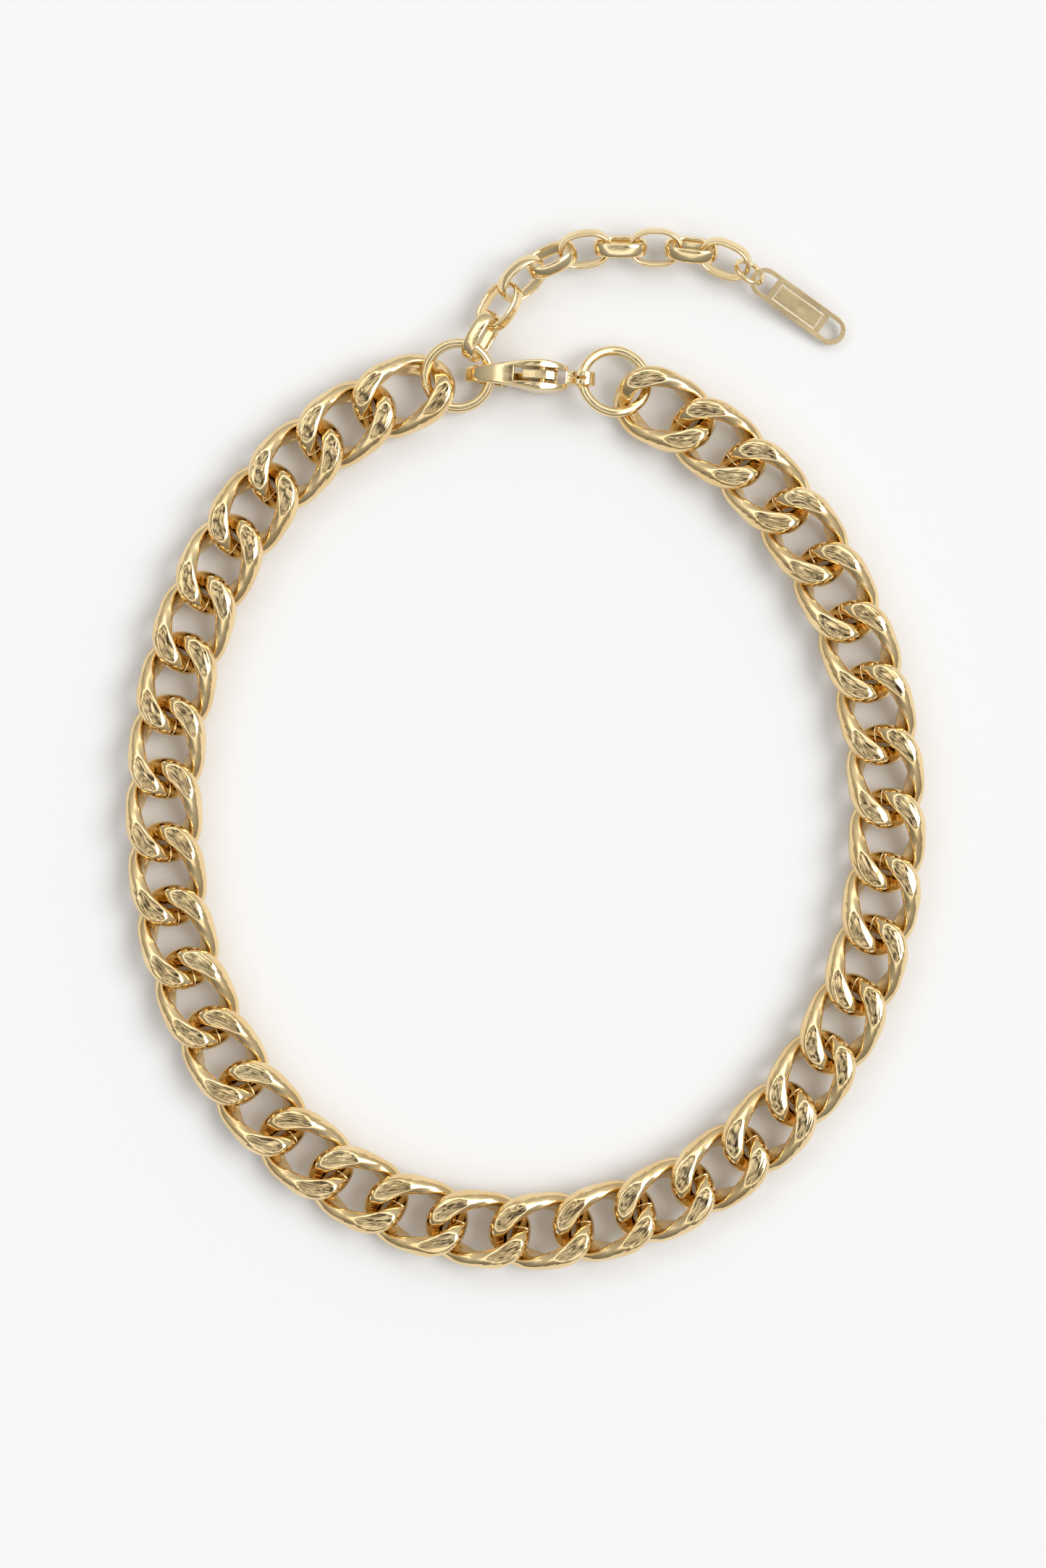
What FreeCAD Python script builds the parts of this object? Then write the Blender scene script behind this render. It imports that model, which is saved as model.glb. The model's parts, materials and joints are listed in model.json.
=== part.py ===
"""Chain necklace: a heavy curb chain, clasped in a loop by a lobster clasp on edge, with an
extender chain and an end tag. Millimetres, +Z up, lying on the plane z = 0."""
import FreeCAD, Part
import math
import os
import Sketcher
from FreeCAD import Placement, Rotation, Vector

UP = Vector(0, 0, 1)
ALONG = Vector(1, 0, 0)
ACROSS = Vector(0, 1, 0)

doc = FreeCAD.newDocument("chain_necklace")

# ---------------------------------------------------------------- driving dimensions

SIZES = [
    # the curb chain's loop: an oval in polar form, a little wider at the back of the neck and a
    # little askew, as it was laid down
    ("loop_radius", 64.2),
    ("loop_oval", 5.5),
    ("loop_egg", 0.4),
    ("loop_skew", 0.3),
    ("loop_start_angle", 74.6),
    ("curb_links", 36),
    ("curb_pitch", 10.346),
    # one curb link: a half-round wire bent to a rounded oval, twisted, then rolled flat
    ("curb_wide", 3.7),
    ("curb_inner", 1.1),
    ("curb_outer", 1.5),
    ("curb_inner_power", 4.0),
    ("curb_outer_power", 2.2),
    ("curb_end_gain", 0.5),
    ("curb_half_length", 7.15),
    ("curb_half_width", 4.8),
    ("curb_squareness", 2.6),
    ("curb_twist", 45.0),
    ("curb_extra_roll", 22.0),
    ("curb_face", 3.05),
    ("curb_face_crown", 0.3),
    # the two plain rings, at the clasp and at the end of the left arm
    ("ring_radius", 5.3),
    ("ring_wire", 1.6),
    ("ring_reach", 4.2),
    ("right_ring_heading", 147.0),
    ("left_ring_heading", 18.0),
    ("ring_roll", 17.0),
    ("hook_heading", 0.0),
    # the clasp: sizes along it are from the outside of its tail eye
    ("clasp_length", 21.3),
    ("clasp_belly", 5.1),
    ("clasp_nose", 2.6),
    ("eye_radius", 2.05),
    ("eye_hole", 1.3),
    ("eye_thickness", 2.2),
    ("slot_width", 2.4),
    ("lever_width", 1.4),
    ("pin_radius", 0.5),
    ("pin_along", 8.6),
    ("pin_above", -0.4),
    ("spring_wire", 0.25),
    ("spring_radius", 0.55),
    ("spring_pitch", 0.4),
    # the extender: oval links of crowned band
    ("belcher_pitch", 5.75),
    ("belcher_length", 8.8),
    ("belcher_width", 6.4),
    ("belcher_band", 2.3),
    ("belcher_gauge", 0.8),
    # the small ring and the tag
    ("tag_ring_radius", 2.4),
    ("tag_ring_wire", 0.8),
    ("tag_length", 18.0),
    ("tag_width", 4.8),
    ("tag_gauge", 0.9),
    ("tag_rim", 0.75),
    ("tag_hole_length", 3.1),
    ("tag_groove", 0.25),
    ("tag_heading", -34.0),
    ("tag_ring_roll", -50.0),
    ("tag_roll", 12.0),
    ("tag_dip", 6.5),
    ("extender_dip", 1.0),
]

# Each extender link's heading in plan and its roll about its own length, in degrees, in the easy
# curve that the loose end lies in. Neighbours stand roughly square to each other.
EXTENDER_LIE = [
    (60, 70), (58, -34), (42, 49), (26, 128), (8, 32), (0, 112), (-2, 24), (-6, -60), (-24, 36),
]

sheet = doc.addObject("Spreadsheet::Sheet", "Sizes")
for row, (alias, number) in enumerate(SIZES, start=1):
    sheet.set("A%d" % row, alias)
    sheet.set("B%d" % row, str(number))
    sheet.setAlias("B%d" % row, alias)
doc.recompute()


def size(alias):
    return float(sheet.get(alias))


# ---------------------------------------------------------------- small helpers

NODES = []


def node(label, feature, placement):
    """Names a finished sub-part and puts it in its place."""
    feature.Label = label
    feature.Placement = placement
    NODES.append(feature)
    return feature


def body_plane(body, role):
    return next(f for f in body.Origin.OriginFeatures if f.Role == role)


def new_sketch(body, name, role):
    sketch = body.newObject("Sketcher::SketchObject", name)
    sketch.AttachmentSupport = [(body_plane(body, role), "")]
    sketch.MapMode = "FlatFace"
    return sketch


def close_loop(sketch, first, last):
    """Joins a run of sketch edges end to end, and its last to its first."""
    for edge in range(first, last):
        sketch.addConstraint(Sketcher.Constraint("Coincident", edge, 2, edge + 1, 1))
    sketch.addConstraint(Sketcher.Constraint("Coincident", last, 2, first, 1))


def add_polygon(sketch, corners):
    first = sketch.GeometryCount
    for start, end in zip(corners, corners[1:] + corners[:1]):
        sketch.addGeometry(Part.LineSegment(Vector(*start, 0), Vector(*end, 0)), False)
    close_loop(sketch, first, sketch.GeometryCount - 1)
    return first


def add_curve_loop(sketch, points):
    """A smooth closed outline through a few points."""
    curve = Part.BSplineCurve()
    curve.interpolate([Vector(x, y, 0) for x, y in points], True)
    sketch.addGeometry(curve, False)


def add_stadium(sketch, half, radius, half_expression, radius_expression):
    """A slot outline on X: its half length and end radius, each bound to the sheet."""
    first = sketch.GeometryCount
    middle = half - radius
    quarter = math.pi / 2
    right = Part.Circle(Vector(middle, 0, 0), UP, radius)
    left = Part.Circle(Vector(-middle, 0, 0), UP, radius)
    sketch.addGeometry(Part.ArcOfCircle(right, -quarter, quarter), False)
    sketch.addGeometry(
        Part.LineSegment(Vector(middle, radius, 0), Vector(-middle, radius, 0)), False)
    sketch.addGeometry(Part.ArcOfCircle(left, quarter, 3 * quarter), False)
    sketch.addGeometry(
        Part.LineSegment(Vector(-middle, -radius, 0), Vector(middle, -radius, 0)), False)
    for edge in range(4):
        following = first + (edge + 1) % 4
        sketch.addConstraint(Sketcher.Constraint("Tangent", first + edge, 2, following, 1))
    sketch.addConstraint(Sketcher.Constraint("PointOnObject", first, 3, -1))
    sketch.addConstraint(Sketcher.Constraint("Horizontal", first + 1))
    bound = sketch.addConstraint(Sketcher.Constraint("Radius", first, radius))
    sketch.setExpression("Constraints[%d]" % bound, radius_expression)
    for arc, sign in ((first, 1), (first + 2, -1)):
        bound = sketch.addConstraint(Sketcher.Constraint("DistanceX", -1, 1, arc, 3, sign * middle))
        sketch.setExpression("Constraints[%d]" % bound,
                             "%d * (%s - (%s))" % (sign, half_expression, radius_expression))


def pad(body, sketch, expression, midplane=True):
    feature = body.newObject("PartDesign::Pad", sketch.Name + "_pad")
    feature.Profile = sketch
    feature.Midplane = midplane
    feature.setExpression("Length", expression)
    return feature


def cut_through(body, sketch):
    feature = body.newObject("PartDesign::Pocket", sketch.Name + "_cut")
    feature.Profile = sketch
    feature.Type = 1
    feature.Midplane = True
    return feature


def heading(degrees):
    angle = math.radians(degrees)
    return Vector(math.cos(angle), math.sin(angle), 0)


def lie_along(centre, degrees, roll=0.0, pitch=0.0):
    """A placement on the chain's plane: turned in plan, then pitched, then rolled about X."""
    turn = Rotation(UP, degrees) * Rotation(ACROSS, pitch) * Rotation(ALONG, roll)
    return Placement(centre, turn)


# ---------------------------------------------------------------- curb links

def signed_power(value, power):
    return math.copysign(abs(value) ** power, value)


def curb_wire_centre(angle):
    """The middle of a curb link's wire: a rounded oval, turned about X by its share of the
    half length, so that each end of the link is twisted the opposite way. Gives the point,
    the share and the direction square to the twisted oval."""
    power = size("curb_squareness")
    cosine = math.cos(angle)
    sine = math.sin(angle)
    reach = (abs(cosine) ** power + abs(sine) ** power) ** (-1 / power)
    share = reach * cosine
    width = size("curb_half_width") * reach * sine
    turn = -math.radians(size("curb_twist")) * share
    point = Vector(
        size("curb_half_length") * share, width * math.cos(turn), width * math.sin(turn))
    return point, share, Vector(0, -math.sin(turn), math.cos(turn))


def curb_section(share, poles_round=12):
    """The wire's half-round section as (outward, across) offsets: flat towards the inside of
    the link, where it thickens at the link's two ends, and crowned outside. The poles stand
    out a little, because a cubic runs inside them."""
    fullness = (2 + math.cos(2 * math.pi / poles_round)) / 3
    inner = size("curb_inner") * (1 + size("curb_end_gain") * share ** 4)
    section = []
    for step in range(poles_round):
        angle = 2 * math.pi * (step + 0.5) / poles_round
        crowned = math.cos(angle) > 0
        power = 2 / (size("curb_outer_power") if crowned else size("curb_inner_power"))
        depth = size("curb_outer") if crowned else inner
        section.append((
            depth * signed_power(math.cos(angle), power) / fullness,
            size("curb_wide") / 2 * signed_power(math.sin(angle), power) / fullness))
    return section


def pressed(point):
    """Links are rolled flat once they are linked: past the face's height, only a share of the
    wire's crown is left."""
    over = max(abs(point.z) - size("curb_face"), 0)
    height = abs(point.z) - over * (1 - size("curb_face_crown"))
    return Vector(point.x, point.y, math.copysign(height, point.z))


def curb_link_solid(stations=32):
    """A curb link as one smooth face closed both ways, along the wire and round it."""
    run = [curb_wire_centre(2 * math.pi * (number + 0.5) / stations) for number in range(stations)]
    poles = []
    for number, (centre, share, normal) in enumerate(run):
        forward = (run[(number + 1) % stations][0] - run[number - 1][0]).normalize()
        outward = forward.cross(normal).normalize()
        across = outward.cross(forward)
        roll = Rotation(forward, -size("curb_extra_roll") * math.sin(math.pi * share) * forward.x)
        outward = roll.multVec(outward)
        across = roll.multVec(across)
        poles.append([
            pressed(centre + outward * depth + across * width)
            for depth, width in curb_section(share)])
    count = len(poles[0])
    surface = Part.BSplineSurface()
    surface.buildFromPolesMultsKnots(
        poles, [1] * (stations + 1), [1] * (count + 1),
        list(range(stations + 1)), list(range(count + 1)), True, True, 3, 3)
    solid = Part.Solid(Part.Shell([surface.toShape()]))
    if solid.Volume < 0:
        solid.reverse()
    return solid


def loop_point(degrees):
    """The chain's centreline in plan: an oval with a slightly wider upper half, a little askew."""
    angle = math.radians(degrees)
    radius = (
        size("loop_radius") - size("loop_oval") * math.cos(2 * angle)
        - size("loop_egg") * math.sin(3 * angle)
        - size("loop_skew") * (math.sin(2 * angle) - math.cos(3 * angle)))
    return Vector(radius * math.cos(angle), radius * math.sin(angle), 0)


def next_hinge(point, degrees, pitch):
    """The angle, further clockwise, at which the oval is one pitch away from the point."""
    near, far = 1.0, 20.0
    while far - near > 1e-9:
        middle = (near + far) / 2
        if (loop_point(degrees - middle) - point).Length < pitch:
            near = middle
        else:
            far = middle
    return degrees - near


def curb_hinges():
    """The points where one curb link turns in the next, clockwise from the clasp's side."""
    degrees = size("loop_start_angle")
    points = [loop_point(degrees)]
    for _ in range(int(size("curb_links"))):
        degrees = next_hinge(points[-1], degrees, size("curb_pitch"))
        points.append(loop_point(degrees))
    return points


def make_curb_chain(hinges):
    link = curb_link_solid()
    for number, (start, end) in enumerate(zip(hinges, hinges[1:]), start=1):
        run = end - start
        feature = doc.addObject("Part::Feature", "CurbLink%02d" % number)
        feature.Shape = link
        degrees = math.degrees(math.atan2(run.y, run.x))
        node("curb_link_%02d" % number, feature, lie_along((start + end) * 0.5, degrees))


# ---------------------------------------------------------------- rings

def make_ring(label, name, radius, wire, placement):
    ring = doc.addObject("Part::Torus", name)
    ring.setExpression("Radius1", "Sizes." + radius)
    ring.setExpression("Radius2", "Sizes.%s / 2" % wire)
    return node(label, ring, placement)


# ---------------------------------------------------------------- clasp

def clasp_outline():
    """The clasp in side view, without its eye: x along it, y up, with the spine uppermost."""
    front = size("clasp_length")
    return [
        (4.3, 0.0), (5.0, 1.9), (7.6, 3.6), (11.2, 4.35), (15.2, 3.9), (front - 2.0, 2.0),
        (front, -0.5), (front - 1.7, -2.5), (front - 5.0, -3.1), (11.0, -3.15), (7.4, -2.85),
        (5.1, -1.7),
    ]


def make_clasp_body(placement):
    body = doc.addObject("PartDesign::Body", "ClaspBody")
    front = size("clasp_length")
    eye = size("eye_radius")

    side = new_sketch(body, "clasp_side", "XZ_Plane")
    add_curve_loop(side, clasp_outline())
    pad(body, side, "Sizes.clasp_belly")

    tail = new_sketch(body, "clasp_tail", "XZ_Plane")
    tail.addGeometry(Part.Circle(Vector(eye, 0, 0), UP, eye), False)
    bound = tail.addConstraint(Sketcher.Constraint("Radius", 0, eye))
    tail.setExpression("Constraints[%d]" % bound, "Sizes.eye_radius")
    pad(body, tail, "Sizes.eye_thickness")

    neck = new_sketch(body, "clasp_neck", "XZ_Plane")
    add_polygon(neck, [(eye, -1.15), (5.4, -1.35), (5.4, 1.35), (eye, 1.15)])
    pad(body, neck, "Sizes.eye_thickness - 0.3")

    eye_hole = new_sketch(body, "clasp_eye", "XZ_Plane")
    eye_hole.addGeometry(Part.Circle(Vector(eye, 0, 0), UP, 1.0), False)
    bound = eye_hole.addConstraint(Sketcher.Constraint("Radius", 0, 1.0))
    eye_hole.setExpression("Constraints[%d]" % bound, "Sizes.eye_hole")
    cut_through(body, eye_hole)

    throat = new_sketch(body, "clasp_throat", "XZ_Plane")
    add_curve_loop(throat, [
        (11.9, 0.4), (13.2, 2.1), (15.6, 2.15), (front - 2.7, 0.9), (front - 2.25, -0.4),
        (front - 3.2, -1.4), (15.6, -1.75), (12.6, -1.3)])
    cut_through(body, throat)

    mouth = new_sketch(body, "clasp_mouth", "XZ_Plane")
    add_polygon(mouth, [(15.6, -0.9), (14.1, -4.2), (10.6, -4.2), (11.6, -0.9)])
    cut_through(body, mouth)

    half_nose = size("clasp_nose") / 2
    half_belly = size("clasp_belly") / 2
    waste = new_sketch(body, "clasp_flanks", "XY_Plane")
    for sign in (1, -1):
        first = waste.GeometryCount
        outer = sign * (half_belly + 1)
        nose = Vector(front + 1, sign * half_nose, 0)
        shoulder = Vector(7.5, sign * half_belly, 0)
        tail_end = Vector(4.0, sign * (half_belly - 0.5), 0)
        middle = Vector(14.6, sign * (half_nose + half_belly + 0.36) / 2, 0)
        bow = Vector(5.9, sign * (half_belly - 0.12), 0)
        waste.addGeometry(Part.Arc(nose, middle, shoulder), False)
        waste.addGeometry(Part.Arc(shoulder, bow, tail_end), False)
        waste.addGeometry(Part.LineSegment(tail_end, Vector(4.0, outer, 0)), False)
        waste.addGeometry(Part.LineSegment(Vector(4.0, outer, 0), Vector(front + 1, outer, 0)), False)
        waste.addGeometry(Part.LineSegment(Vector(front + 1, outer, 0), nose), False)
    cut_through(body, waste)

    slot = new_sketch(body, "clasp_slot", "XZ_Plane")
    add_polygon(slot, [(6.3, -2.2), (9.0, -2.2), (9.6, -4.5), (12.9, -4.5), (12.9, 5.0), (4.7, 5.0),
                       (4.7, -4.5), (6.3, -4.5)])
    feature = body.newObject("PartDesign::Pocket", "clasp_slot_cut")
    feature.Profile = slot
    feature.Midplane = True
    feature.setExpression("Length", "Sizes.slot_width")

    pin_hole = new_sketch(body, "clasp_pin_hole", "XZ_Plane")
    pin_hole.addGeometry(Part.Circle(Vector(size("pin_along"), size("pin_above"), 0), UP, 0.5), False)
    bound = pin_hole.addConstraint(Sketcher.Constraint("Radius", 0, 0.5))
    pin_hole.setExpression("Constraints[%d]" % bound, "Sizes.pin_radius + 0.02")
    cut_through(body, pin_hole)
    return node("clasp_body", body, placement)


def make_clasp_lever(placement):
    body = doc.addObject("PartDesign::Body", "ClaspLever")
    along = size("pin_along")
    above = size("pin_above")
    side = new_sketch(body, "lever_side", "XZ_Plane")
    add_polygon(side, [
        (6.4, 3.3), (7.6, 3.95), (9.4, 4.35), (11.4, 4.5), (11.5, 3.9), (10.3, 1.3), (10.6, 0.0),
        (14.9, -1.9), (14.35, -3.0), (10.2, -2.4), (8.2, -1.45), (6.6, -1.3), (6.6, -0.6), (7.2, 0.4)])
    pad(body, side, "Sizes.lever_width")
    hole = new_sketch(body, "lever_hole", "XZ_Plane")
    hole.addGeometry(Part.Circle(Vector(along, above, 0), UP, 0.5), False)
    bound = hole.addConstraint(Sketcher.Constraint("Radius", 0, 0.5))
    hole.setExpression("Constraints[%d]" % bound, "Sizes.pin_radius + 0.05")
    cut_through(body, hole)
    return node("clasp_lever", body, placement)


def make_clasp_pin(placement):
    pin = doc.addObject("Part::Cylinder", "ClaspPin")
    pin.setExpression("Radius", "Sizes.pin_radius")
    pin.setExpression("Height", "Sizes.clasp_belly - 0.1")
    seat = Placement(Vector(size("pin_along"), (size("clasp_belly") - 0.1) / 2, size("pin_above")),
                     Rotation(ALONG, 90))
    return node("clasp_pin", pin, placement * seat)


def make_clasp_spring(placement):
    """A tiny coil spring between the belly's floor and the lever's heel."""
    turns = 1.2
    coil = Part.makeHelix(size("spring_pitch"), turns * size("spring_pitch"), size("spring_radius"))
    section = Part.Wire(Part.makeCircle(
        size("spring_wire") / 2, Vector(size("spring_radius"), 0, 0), ACROSS))
    spring = doc.addObject("Part::Feature", "ClaspSpring")
    spring.Shape = Part.Wire(coil).makePipeShell([section], True, True)
    seat = Placement(Vector(7.1, 0, -2.2 + size("spring_wire") / 2 + 0.02), Rotation())
    return node("clasp_spring", spring, placement * seat)


# ---------------------------------------------------------------- extender and tag

def make_extender_link(number, placement):
    body = doc.addObject("PartDesign::Body", "ExtenderLink%d" % number)
    outline = new_sketch(body, "belcher_outline_%d" % number, "XY_Plane")
    half = size("belcher_length") / 2
    radius = size("belcher_width") / 2
    gauge = size("belcher_gauge")
    add_stadium(outline, half, radius, "Sizes.belcher_length / 2", "Sizes.belcher_width / 2")
    add_stadium(outline, half - gauge, radius - gauge,
                "Sizes.belcher_length / 2 - Sizes.belcher_gauge",
                "Sizes.belcher_width / 2 - Sizes.belcher_gauge")
    band = pad(body, outline, "Sizes.belcher_band")
    doc.recompute()
    rim = size("belcher_width") / 2
    edges = []
    for position, edge in enumerate(band.Shape.Edges, start=1):
        box = edge.BoundBox
        flat = box.ZLength < 0.01
        outer = max(abs(box.YMin), abs(box.YMax)) > rim - 0.1
        if flat and outer:
            edges.append("Edge%d" % position)
    crown = body.newObject("PartDesign::Fillet", "belcher_crown_%d" % number)
    crown.Base = (band, edges)
    crown.setExpression("Radius", "0.75 * Sizes.belcher_gauge")
    return node("extender_link_%d" % number, body, placement)


def make_tag(placement):
    body = doc.addObject("PartDesign::Body", "EndTag")
    outline = new_sketch(body, "tag_outline", "XY_Plane")
    add_stadium(outline, size("tag_length") / 2, size("tag_width") / 2,
                "Sizes.tag_length / 2", "Sizes.tag_width / 2")
    pad(body, outline, "Sizes.tag_gauge")
    half = size("tag_length") / 2
    arc_radius = size("tag_width") / 2 - size("tag_rim")
    flat = half - size("tag_rim") - size("tag_hole_length")
    arc_centre = half - size("tag_width") / 2
    holes = new_sketch(body, "tag_holes", "XY_Plane")
    for sign in (1, -1):
        top = Vector(sign * arc_centre, sign * arc_radius, 0)
        bottom = Vector(sign * arc_centre, -sign * arc_radius, 0)
        tip = Vector(sign * (arc_centre + arc_radius), 0, 0)
        inner_top = Vector(sign * flat, sign * arc_radius, 0)
        inner_bottom = Vector(sign * flat, -sign * arc_radius, 0)
        holes.addGeometry(Part.Arc(bottom, tip, top), False)
        holes.addGeometry(Part.LineSegment(top, inner_top), False)
        holes.addGeometry(Part.LineSegment(inner_top, inner_bottom), False)
        holes.addGeometry(Part.LineSegment(inner_bottom, bottom), False)
    cut_through(body, holes)

    border = new_sketch(body, "tag_border", "XY_Plane")
    border.setExpression("AttachmentOffset.Base.z", "Sizes.tag_gauge / 2")
    long_side = flat - 0.9
    short_side = arc_radius - 0.15
    groove = size("tag_groove")
    for inset in (0, groove):
        corner_x = long_side - inset
        corner_y = short_side - inset
        add_polygon(border, [(corner_x, corner_y), (-corner_x, corner_y),
                             (-corner_x, -corner_y), (corner_x, -corner_y)])
    engraving = body.newObject("PartDesign::Pocket", "tag_engraving")
    engraving.Profile = border
    engraving.setExpression("Length", "Sizes.tag_groove / 2")
    return node("end_tag", body, placement)


# ---------------------------------------------------------------- laying it out

def lay_out():
    hinges = curb_hinges()
    make_curb_chain(hinges)

    reach = size("ring_reach")
    ring = size("ring_radius")
    right_centre = hinges[0] + heading(size("right_ring_heading")) * reach
    left_centre = hinges[-1] + heading(size("left_ring_heading")) * reach
    right_ring = make_ring(
        "right_jump_ring", "RightRing", "ring_radius", "ring_wire",
        lie_along(right_centre, size("right_ring_heading"), size("ring_roll")))
    left_ring = make_ring(
        "left_end_ring", "LeftRing", "ring_radius", "ring_wire",
        lie_along(left_centre, size("left_ring_heading"), size("ring_roll")))

    hook_hold = left_ring.Placement.multVec(
        heading(size("hook_heading") - size("left_ring_heading")) * ring)
    pull = hook_hold - right_centre
    clasp_turn = math.degrees(math.atan2(pull.y, pull.x))
    eye_centre = right_ring.Placement.multVec(
        heading(clasp_turn - size("right_ring_heading")) * ring)
    drop = eye_centre.z - hook_hold.z
    dip = math.degrees(math.asin(drop / (hook_hold - eye_centre).Length))
    clasp = lie_along(eye_centre, clasp_turn, pitch=dip)
    clasp = clasp * Placement(Vector(-size("eye_radius"), 0, 0), Rotation())
    make_clasp_body(clasp)
    make_clasp_lever(clasp)
    make_clasp_pin(clasp)
    make_clasp_spring(clasp)

    lay_extender(left_ring)


def lay_extender(left_ring):
    """Lays the loose chain link by link from the left ring, and then its small ring and tag."""
    half = Vector(size("belcher_pitch") / 2, 0, 0)
    first_heading = EXTENDER_LIE[0][0]
    hold = heading(first_heading - size("left_ring_heading")) * (size("ring_radius") - 0.75)
    joint = left_ring.Placement.multVec(hold)
    for number, (degrees, roll) in enumerate(EXTENDER_LIE, start=1):
        place = lie_along(joint, degrees, roll, size("extender_dip"))
        place = place * Placement(half, Rotation())
        make_extender_link(number, place)
        joint = place.multVec(half)

    dip = size("tag_dip")
    degrees = size("tag_heading")
    reach = Vector(size("tag_ring_radius") - size("tag_ring_wire"), 0, 0)
    place = lie_along(joint, degrees, size("tag_ring_roll"), dip) * Placement(reach, Rotation())
    make_ring("tag_ring", "TagRing", "tag_ring_radius", "tag_ring_wire", place)
    joint = place.multVec(reach)
    overhang = Vector(size("tag_length") / 2 - 0.9, 0, 0)
    make_tag(lie_along(joint, degrees, size("tag_roll"), dip) * Placement(overhang, Rotation()))


def centre_on_floor():
    """Moves everything so that the middle of the whole object's foot is the origin."""
    whole = FreeCAD.BoundBox()
    for feature in NODES:
        whole.add(feature.Shape.optimalBoundingBox(False, False))
    shift = Placement(Vector(-whole.Center.x, -whole.Center.y, -whole.ZMin), Rotation())
    for feature in NODES:
        feature.Placement = shift * feature.Placement
    return shift.Base


lay_out()
doc.recompute()
centre_on_floor()
doc.recompute()

for feature in doc.Objects:
    if "Invalid" in feature.State or "Error" in feature.State:
        raise RuntimeError("%s did not compute: %s" % (feature.Label, feature.State))
for feature in NODES:
    if feature.Shape.isNull() or not feature.Shape.isValid():
        raise RuntimeError("%s has no valid shape" % feature.Label)

os.makedirs("parts", exist_ok=True)
for feature in NODES:
    feature.Shape.exportStep("parts/%s.step" % feature.Label)
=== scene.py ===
import json
import math

import bmesh
import bpy
import numpy as np
from mathutils import Matrix, Vector
from mathutils.geometry import delaunay_2d_cdt


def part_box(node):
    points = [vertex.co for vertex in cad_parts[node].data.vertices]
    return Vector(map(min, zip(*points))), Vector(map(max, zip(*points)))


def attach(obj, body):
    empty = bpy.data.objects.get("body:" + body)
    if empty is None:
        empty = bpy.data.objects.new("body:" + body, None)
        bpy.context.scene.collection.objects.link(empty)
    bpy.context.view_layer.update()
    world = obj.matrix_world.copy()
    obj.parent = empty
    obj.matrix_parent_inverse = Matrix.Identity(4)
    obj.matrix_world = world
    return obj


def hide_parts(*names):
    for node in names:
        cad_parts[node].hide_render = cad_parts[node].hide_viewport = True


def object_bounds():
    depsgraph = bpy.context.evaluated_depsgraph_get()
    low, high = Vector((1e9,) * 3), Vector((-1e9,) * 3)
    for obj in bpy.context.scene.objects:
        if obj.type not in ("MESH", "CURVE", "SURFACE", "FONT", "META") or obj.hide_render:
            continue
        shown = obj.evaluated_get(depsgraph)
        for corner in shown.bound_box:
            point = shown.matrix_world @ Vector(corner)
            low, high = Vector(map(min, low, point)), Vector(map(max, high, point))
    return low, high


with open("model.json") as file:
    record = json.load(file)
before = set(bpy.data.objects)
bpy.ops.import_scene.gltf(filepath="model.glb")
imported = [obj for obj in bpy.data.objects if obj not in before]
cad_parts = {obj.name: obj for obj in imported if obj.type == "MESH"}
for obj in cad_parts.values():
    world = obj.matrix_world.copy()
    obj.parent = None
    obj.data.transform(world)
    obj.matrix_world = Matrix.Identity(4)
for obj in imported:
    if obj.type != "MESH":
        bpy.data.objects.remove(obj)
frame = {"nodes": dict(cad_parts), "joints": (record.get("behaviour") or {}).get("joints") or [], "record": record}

CAD_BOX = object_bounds()
RECORD = frame["record"]
JOINTS = {joint["name"]: joint for joint in frame["joints"]}
MOUNTS = {mount["name"]: mount for mount in RECORD["mounts"]}
MM = 0.001
UP = np.array([0.0, 0.0, 1.0])


# ---------------------------------------------------------------- sizes of the finish, millimetres

CURB_WIDE = 3.7
CURB_INNER = 1.1
CURB_OUTER = 1.45
CURB_INNER_POWER = 4.0
CURB_OUTER_POWER = 2.2
CURB_HALF_LENGTH = 7.15
CURB_HALF_WIDTH = 4.8
CURB_SQUARENESS = 2.6
CURB_TWIST = math.radians(45.0)
CURB_EXTRA_ROLL = math.radians(22.0)
CURB_END_GAIN = 0.5
CURB_FACE = 3.02
CURB_FACE_CROWN = 0.3
CURB_ROWS = 144
CURB_COLUMNS = 48
GRAIN_ALONG = 1.5
GRAIN_ACROSS = 1.4
GRAIN_STEP = 5.3
SEAM_WIDTH = 0.05
SEAM_DEPTH = 0.09

RING_RADIUS = 5.3
RING_WIRE = 1.6
TAG_RING_RADIUS = 2.4
TAG_RING_WIRE = 0.8

BELCHER_HALF_LENGTH = 4.4
BELCHER_HALF_WIDTH = 3.2
BELCHER_BAND = 2.3
BELCHER_GAUGE = 0.8
BELCHER_SQUARENESS = 2.35

CLASP_LENGTH = 21.3
CLASP_BELLY = 5.1
CLASP_NOSE = 2.6
CLASP_EYE = 2.05
CLASP_EYE_HOLE = 1.3
CLASP_EYE_THICKNESS = 2.2
CLASP_SLOT = 2.4
LEVER_WIDTH = 1.4
PIN_ALONG = 8.6
PIN_ABOVE = -0.4
PIN_RADIUS = 0.5
PIN_HOLE = 0.52

TAG_HALF_LENGTH = 9.0
TAG_HALF_WIDTH = 2.4
TAG_GAUGE = 0.9
TAG_RIM = 0.75
TAG_HOLE = 3.1


# How tall the camera's frame is on the object, and how far its middle is from the object's.
VIEW_HEIGHT = 0.2538
VIEW_SHIFT = (-0.0004, -0.0057)

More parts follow.
